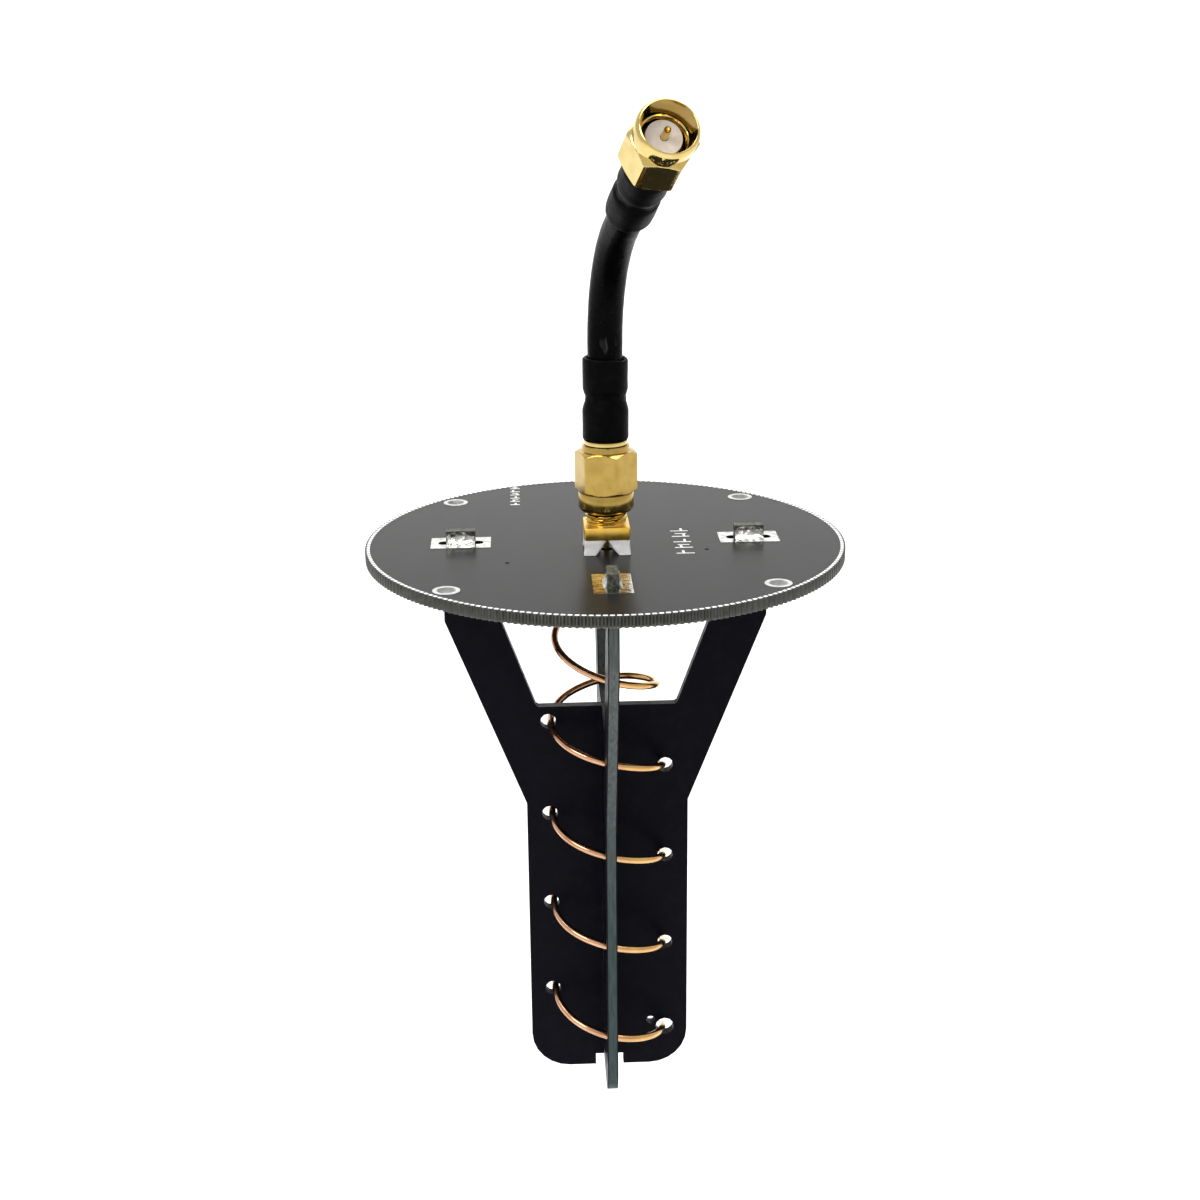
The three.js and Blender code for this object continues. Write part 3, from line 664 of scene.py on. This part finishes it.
def plug_pieces(prefix, at, body, nut_body, boot_end, seed, gold):
    """The visible pieces of one plug, and the hidden ones that a pose uncovers."""

    def round_piece(node, profile, look, slot, segments=64, radius=0.05):
        verts, faces = turned_ring(soften(profile, radius), segments, at)
        name = f"{prefix}_{node}_detail"
        return finish_piece(name, verts, faces, look, body, slot, [f"{prefix}_{node}"])

    verts, faces, deep = nut_mesh(at)
    finish_piece(f"{prefix}_nut_detail", verts, faces, gold, nut_body, "gold_plate",
                 [f"{prefix}_coupling_nut"], 24, deep)
    pieces = [
        round_piece("plug_body", [
            (2.05, 3.1), (2.34, 3.1), (2.34, 5.3), (3.0, 5.3), (3.0, 6), (2.5, 6), (2.5, 7.1),
            (2.1, 7.1), (2.1, 7.9), (2.5, 7.9), (2.5, 9.7), (3.1, 9.7), (3.1, 10.25),
            (1.95, 10.25), (1.95, 14.6), (1.55, 14.6), (1.55, 9.9), (2.05, 9.9),
        ], PLUG_GOLD, "gold_plate"),
        round_piece("gasket", [(2.4, 4.8), (3.0, 4.8), (3.0, 5.25), (2.4, 5.25)],
                    RUBBER, "seal_rubber", 64, 0.15),
        round_piece("plug_dielectric", [
            (0.5, 2.7), (2.3, 2.7), (2.3, 3.05), (2.02, 3.1), (2.02, 9.8), (0.8, 9.8), (0.8, 7.4),
            (0.5, 7.4),
        ], PTFE, "white_dielectric"),
    ]
    pin = [(0.02, 0.2), (0.16, 0.22), (0.3, 0.42), (0.43, 0.78), (0.46, 0.95), (0.46, 7.5),
           (0.75, 7.5), (0.75, 9.7), (0.02, 9.7)]
    verts, faces = turned_solid(pin, 32, at)
    pieces.append(finish_piece(f"{prefix}_pin_detail", verts, faces, PLUG_GOLD, body,
                               "gold_plate", [f"{prefix}_plug_pin"]))
    verts, faces = boot_mesh(at, boot_end, seed)
    pieces.append(finish_piece(f"{prefix}_boot_detail", verts, faces, SHRINK, body,
                               "shrink_sleeve", [f"{prefix}_boot"], 50))
    return pieces


LOWER_PIECES = plug_pieces("lower", LOWER, "lead", "lower_nut", LOWER_BOOT_END, 1.3, NUT_GOLD)
UPPER_PIECES = plug_pieces("upper", UPPER, "lead", "upper_nut", UPPER_BOOT_END, 4.1, PLUG_GOLD)

# ------------------------------------------------------------------ jack


def jack_piece():
    """The threaded barrel with its round base."""
    at = Matrix.Translation((0, JACK_Y, 0))
    rows = [(2.05, 2.25, 0), (2.1, 2.2, 0), (2.6, 2.2, 0), (3.05, 2.35, 0), (3.05, 3.98, 0),
            (2.86, 4.04, 0)]
    steps = 74
    for k in range(steps + 1):
        height = 4.2 + 6.3 * k / steps
        rows.append((2.78, height, min(1, k / 6, (steps - k) / 6)))
    rows += [(2.82, 10.62, 0), (2.76, 10.7, 0), (2.46, 10.7, 0), (2.42, 10.64, 0),
             (2.42, 8.8, 0), (2.05, 8.8, 0)]
    columns = 96
    verts = []
    for radius, height, threaded in rows:
        for j in range(columns):
            angle = TAU * j / columns
            r = radius + 0.25 * threaded * thread_wave(height, angle, 0.5)
            verts.append(at @ Vector((r * math.cos(angle), r * math.sin(angle), height)))
    barrel = (verts, grid_faces(len(rows), columns, True))
    return finish_piece("jack_barrel_detail", *barrel, JACK_GOLD, "antenna", "gold_plate",
                        ["jack_shell"], 40)


def rounded_square(half, corner, steps=5):
    points = []
    for quarter in range(4):
        middle = TAU * (quarter + 0.5) / 4
        centre = Vector((math.cos(middle), math.sin(middle))) * (half - corner) * math.sqrt(2)
        for k in range(steps + 1):
            angle = middle - TAU / 8 + TAU / 4 * k / steps
            points.append(centre + Vector((math.cos(angle), math.sin(angle))) * corner)
    return points


def prism(layers):
    """A closed stack of outlines that share a point count, each a list of 3-D points."""
    count = len(layers[0])
    verts = [v for layer in layers for v in layer]
    faces = grid_faces(len(layers), count)
    last = (len(layers) - 1) * count
    faces.append(tuple(reversed(range(count))))
    faces.append(tuple(range(last, last + count)))
    return verts, faces


def flange_and_legs():
    """A square flange round the barrel, on four legs."""
    outline = rounded_square(3.25, 0.25)
    count = len(outline)
    rows = [(0.92, 2.2), (0.985, 2.2), (1, 2.28), (1, 3.9), (0.985, 3.98), (0.6, 4.0)]
    verts = []
    for scale, height in rows:
        verts += [Vector((p.x * scale, p.y * scale + JACK_Y, height)) for p in outline]
    for height in (4.0, 2.2):
        for p in outline:
            inner = p.normalized() * (2.7 if height > 3 else 2.3)
            verts.append(Vector((inner.x, inner.y + JACK_Y, height)))
    parts = [(verts, grid_faces(len(rows) + 2, count, True))]
    for sx in (-1, 1):
        for sy in (-1, 1):
            layers = []
            for half, height in ((0.36, -1.9), (0.5, -1.7), (0.5, 2.3)):
                layers.append([Vector((p.x + sx * LEG_HALF_PITCH,
                                       p.y + sy * LEG_HALF_PITCH + JACK_Y, height))
                               for p in rounded_square(half, 0.1, 3)])
            parts.append(prism(layers))
    verts, faces = merged(parts)
    # The flange and legs wear the brighter gold: painted light.
    return finish_piece("jack_flange_detail", verts, faces, LIT_FLANGE_GOLD, "antenna", "gold_plate",
                        (), 35)


def leg_solder_piece(number, sx, sy):
    """Solder painted near-white as painted light: a small foot on the board and a wide web under
    the flange.
    """
    layers = []
    steps = 12
    for k in range(steps + 1):
        t = k / steps
        height = 0.04 + 2.14 * t
        spread = 0.68 + 0.12 * (1 - t) ** 3
        reach = 0.16 + 1.6 * t ** 0.85
        layer = []
        for p in rounded_square(1, 0.3, 5):
            x = p.x * (spread if p.x * sx > 0 else spread + reach)
            y = p.y * (spread if p.y * sy > 0 else spread + reach * 0.4)
            spot = Vector((x + sx * LEG_HALF_PITCH, y + sy * LEG_HALF_PITCH + JACK_Y, height))
            push = bumpy(spot, 1.1, 0.09) * math.sin(math.pi * t) ** 0.5
            layer.append(spot + Vector((p.x * push, p.y * push, 0)))
        layers.append(layer)
    verts, faces = prism(layers)
    return finish_piece(f"leg_solder_detail_{number}", verts, faces, LIT_SOLDER_TIN, "antenna",
                        "solder_tin", [f"leg_solder_{number}"], 50)


jack_piece()
flange_and_legs()
for number, (sx, sy) in enumerate(((1, 1), (-1, 1), (-1, -1), (1, -1)), 1):
    leg_solder_piece(number, sx, sy)

# ------------------------------------------------------------------ helix


def sag_at(turns):
    if turns <= SAG[0][0]:
        return SAG[0][1]
    for (turn_a, sag_a), (turn_b, sag_b) in zip(SAG, SAG[1:]):
        if turns <= turn_b:
            return sag_a + (sag_b - sag_a) * smoothstep((turns - turn_a) / (turn_b - turn_a))
    return SAG[-1][1]


def helix_point(turns):
    angle = math.pi * (1 + 2 * turns)
    held = smoothstep((turns + 0.55) / 0.35)
    pull = HOLE_PULL * math.cos(angle) ** 6
    radius = FREE_R + (HELIX_R - pull - FREE_R) * held
    height = HELIX_TOP_HOLE_Z - turns * HELIX_PITCH - sag_at(turns)
    return Vector((radius * math.cos(angle), radius * math.sin(angle), height))


def helix_piece():
    start, elbow = Vector((0, JACK_Y - 1.0, -2.95)), Vector((0.41, -8.12, -3.79))
    end = helix_point(-HELIX_FREE_TURNS)
    line = []
    for k in range(16):
        t = k / 16
        line.append(start * (1 - t) ** 2 + elbow * 2 * t * (1 - t) + end * t * t)
    turns = HELIX_FREE_TURNS + HELIX_HELD_TURNS
    count = int(turns * 64)
    for k in range(count + 1):
        line.append(helix_point(-HELIX_FREE_TURNS + turns * k / count))

    def radius(i):
        from_tip = len(line) - 1 - i
        return WIRE_R * (0.88 if from_tip == 0 else 1)

    verts, faces = swept(line, radius, 20)
    return finish_piece("helix_detail", verts, faces, COPPER, "antenna", "copper_wire",
                        ["helix_wire"])


helix_piece()

# ------------------------------------------------------------------ reflector trim


def rim_piece():
    """Plated half holes round the edge leave ribs between them."""
    per_hole = 8
    columns = RIM_HOLES * per_hole
    rows = [(RIM_PAD_R, -1.645), (34.94, -1.65), (REFLECTOR_R, -BOARD), (REFLECTOR_R, -0.02),
            (34.95, 0.04), (RIM_PAD_R, 0.045)]
    verts = []
    for radius, height in rows:
        for j in range(columns):
            angle = TAU * j / columns
            across = (j % per_hole) / per_hole * 2 - 1
            groove = 0.34 * math.sqrt(max(0, 1 - (across / 0.62) ** 2)) if radius > 34.8 else 0
            r = radius - groove
            verts.append(Vector((r * math.cos(angle), r * math.sin(angle), height)))
    # The plated side wears the dark copy of the plating: painted shade.
    return finish_piece("rim_detail", verts, grid_faces(len(rows), columns, True), SHADED_RIM_SIDE,
                        "antenna", "rim_tin", ["rim_plating"], 40)


def rim_pads():
    """Bright plated dashes on both faces, one for each rib."""
    parts = []
    for face_z, lift in ((0.0, 0.05), (-BOARD, -0.05)):
        for i in range(RIM_HOLES):
            middle = TAU * i / RIM_HOLES
            half = TAU / RIM_HOLES * 0.33
            layers = []
            for radius, height in ((34.28, face_z + lift * 0.5), (34.30, face_z + lift * 1.2),
                                   (34.72, face_z + lift * 1.2), (34.76, face_z + lift * 0.5)):
                layers.append([Vector((radius * math.cos(middle + half * s),
                                       radius * math.sin(middle + half * s), height))
                               for s in (-1, -0.85, 0.85, 1)])
            verts = [v for layer in layers for v in layer]
            faces = []
            for k in range(3):
                for j in range(3):
                    a = k * 4 + j
                    faces.append((a, a + 1, a + 5, a + 4) if lift > 0 else (a, a + 4, a + 5, a + 1))
            parts.append((verts, faces))
    verts, faces = merged(parts)
    return finish_piece("rim_pads", verts, faces, RIM_PADS, "antenna", "solder_tin", (), 30)


def eyelet_piece(number, x, y):
    profile = soften([
        (1.3, -BOARD - 0.05), (1.9, -BOARD - 0.05), (1.9, -BOARD), (1.42, -BOARD), (1.42, 0),
        (1.9, 0), (1.9, 0.055), (1.3, 0.06),
    ], 0.03)
    verts, faces = turned_ring(profile, 56, Matrix.Translation((x, y, 0)))
    return finish_piece(f"eyelet_detail_{number}", verts, faces, EYE_TIN, "antenna", "solder_tin",
                        [f"mounting_eyelet_{number}"])


def tab_solder_piece(number, side):
    """A lumpy fillet against one face of a board tab."""
    turn = Matrix.Rotation((number - 1) * TAU / 4, 4, "Z")
    sign = 1 if side == "a" else -1
    half = TAB_HALF - 0.1
    along, up = 26, 9
    outer = []
    for i in range(along + 1):
        u = i / along * 2 - 1
        row = []
        for j in range(up + 1):
            t = j / up
            end_drop = 1 - 0.35 * abs(u) ** 4
            height = 0.05 + (TAB_PROUD - 0.2) * t * end_drop
            spread = 1.75 if number % 2 else 0.5
            reach = 0.84 + spread * (1 - t) ** 3.2 * (1 - 0.25 * u ** 4)
            spot = Vector((TAB_AT + u * half, sign * reach, height))
            lump = bumpy(spot + Vector((number * 7, 0, 0)), 1.5, 0.3) * math.sin(math.pi * t) ** 0.5
            row.append(turn @ (spot + Vector((0, sign * max(lump, -0.03), 0))))
        wall = Vector((TAB_AT + u * half, sign * 0.83, 0.0))
        top = wall + Vector((0, 0, 0.05 + (TAB_PROUD - 0.2) * (1 - 0.35 * abs(u) ** 4)))
        row += [turn @ top, turn @ wall]
        outer.append(row)
    count = up + 3
    verts = [v for row in outer for v in row]
    faces = []
    for i in range(along):
        for j in range(count):
            a, b = i * count + j, i * count + (j + 1) % count
            quad = (a, b, b + count, a + count)
            faces.append(quad if sign < 0 else tuple(reversed(quad)))
    ends = [tuple(range(count)), tuple(along * count + j for j in reversed(range(count)))]
    faces += ends if sign > 0 else [tuple(reversed(e)) for e in ends]
    return finish_piece(f"tab_solder_detail_{number}_{side}", verts, faces, TAB_TIN, "antenna",
                        "solder_tin", [f"tab_solder_{number}_{side}"], 60)


def marks_piece():
    """Two rows of plain printed strokes on the rear face, in place of any lettering."""
    parts = []

    def stroke(x, y, width, length):
        corners = [(x, y), (x + width, y), (x + width, y + length), (x, y + length)]
        low = [Vector((cx, cy, 0.001)) for cx, cy in corners]
        high = [Vector((cx, cy, 0.02)) for cx, cy in corners]
        parts.append((low + high, [
            (3, 2, 1, 0), (4, 5, 6, 7), (0, 1, 5, 4), (1, 2, 6, 5), (2, 3, 7, 6), (3, 0, 4, 7),
        ]))

    for x, y, tall, count, step in ((-13.9, 20.4, 1.5, 6, 1.95), (9.9, -7.7, 2.6, 5, 2.85)):
        for i in range(count):
            base = y + i * step
            stroke(x, base, tall, 0.34)
            stroke(x + tall * (0.15 + 0.5 * random.random()), base + 0.34, 0.36, step * 0.42)
            if i % 2:
                stroke(x + tall * 0.2, base + step * 0.5, tall * 0.65, 0.32)
    verts, faces = merged(parts)
    return finish_piece("printed_strokes", verts, faces, INK, "antenna", "rim_tin", (), 30)


rim_piece()
rim_pads()
for number, (x, y) in enumerate(((1, 1), (-1, 1), (-1, -1), (1, -1)), 1):
    eyelet_piece(number, x * MOUNT_HALF, y * MOUNT_HALF)
for number in range(1, 5):
    for side in "ab":
        tab_solder_piece(number, side)
marks_piece()

# ------------------------------------------------------------------ CAD nodes that stay


def repaint(node, look):
    piece = bpy.data.objects[node]
    for slot in piece.material_slots:
        slot.link = "OBJECT"
        slot.material = look


repaint("reflector_board", MASK)
repaint("support_board_a", BOARD_A_LOOK)
repaint("support_board_b", BOARD_B_LOOK)
# The feed joint shares the solder painted near-white as painted light.
repaint("feed_solder", LIT_SOLDER_TIN)
repaint("jack_dielectric", PTFE)
repaint("jack_contact", JACK_GOLD)
for number in range(1, 5):
    repaint(f"tab_land_{number}", TIN)
for prefix in ("lower", "upper"):
    repaint(f"{prefix}_retaining_ring", PLUG_GOLD)
    repaint(f"{prefix}_crimped_braid", BRAID)
    repaint(f"{prefix}_crimp_ferrule", PLUG_GOLD)
repaint("cable_braid", BRAID)
repaint("cable_insulation", PTFE)
repaint("cable_core", COPPER)

# ------------------------------------------------------------------ floor, backdrop and light


FLOOR_DEPTH = 0.16                      # metres from the reflector down to the floor


def backdrop():
    """A pale floor that curves up behind the object."""
    look = Look("backdrop", (0.90, 0.90, 0.90), 0.9)
    look.feed("Base Color", look.mix(look.noise(3), (0.89, 0.89, 0.89), (0.91, 0.91, 0.91)))
    profile = [(-1.4, 0.0), (0.5, 0.0)]
    for k in range(1, 13):
        angle = math.pi / 2 * k / 12
        profile.append((0.5 + 0.5 * math.sin(angle), 0.5 * (1 - math.cos(angle))))
    profile.append((1.0, 2.2))
    verts, faces = [], []
    for y, z in profile:
        verts += [(-2.2, y, z - FLOOR_DEPTH), (2.2, y, z - FLOOR_DEPTH)]
    for i in range(len(profile) - 1):
        faces.append((2 * i, 2 * i + 1, 2 * i + 3, 2 * i + 2))
    mesh = bpy.data.meshes.new("backdrop")
    mesh.from_pydata(verts, [], faces)
    mesh.polygons.foreach_set("use_smooth", [True] * len(mesh.polygons))
    mesh.materials.append(look.material)
    sheet = bpy.data.objects.new("backdrop", mesh)
    bpy.context.collection.objects.link(sheet)


def area_light(name, position, target, size, power):
    data = bpy.data.lights.new(name, "AREA")
    data.shape = "RECTANGLE"
    data.size, data.size_y = size
    data.energy = power
    light = bpy.data.objects.new(name, data)
    direction = Vector(target) - Vector(position)
    light.location = position
    light.rotation_euler = direction.to_track_quat("-Z", "Y").to_euler()
    bpy.context.collection.objects.link(light)


def world_light():
    world = bpy.data.worlds.new("studio")
    bpy.context.scene.world = world
    world.use_nodes = True
    background = world.node_tree.nodes["Background"]
    background.inputs["Color"].default_value = (1, 1, 1, 1)
    background.inputs["Strength"].default_value = 0.8
    bpy.context.scene.view_settings.view_transform = "Standard"


backdrop()
world_light()
area_light("key", (-0.45, -0.5, 0.55), (0, 0, 0.0), (0.4, 0.4), 2.5)
area_light("top", (0.05, 0.25, 0.8), (0, 0.1, 0.0), (0.7, 0.7), 4)
area_light("back_wall", (0.0, 0.1, 1.2), (0, 1.0, 0.2), (1.6, 0.5), 10)
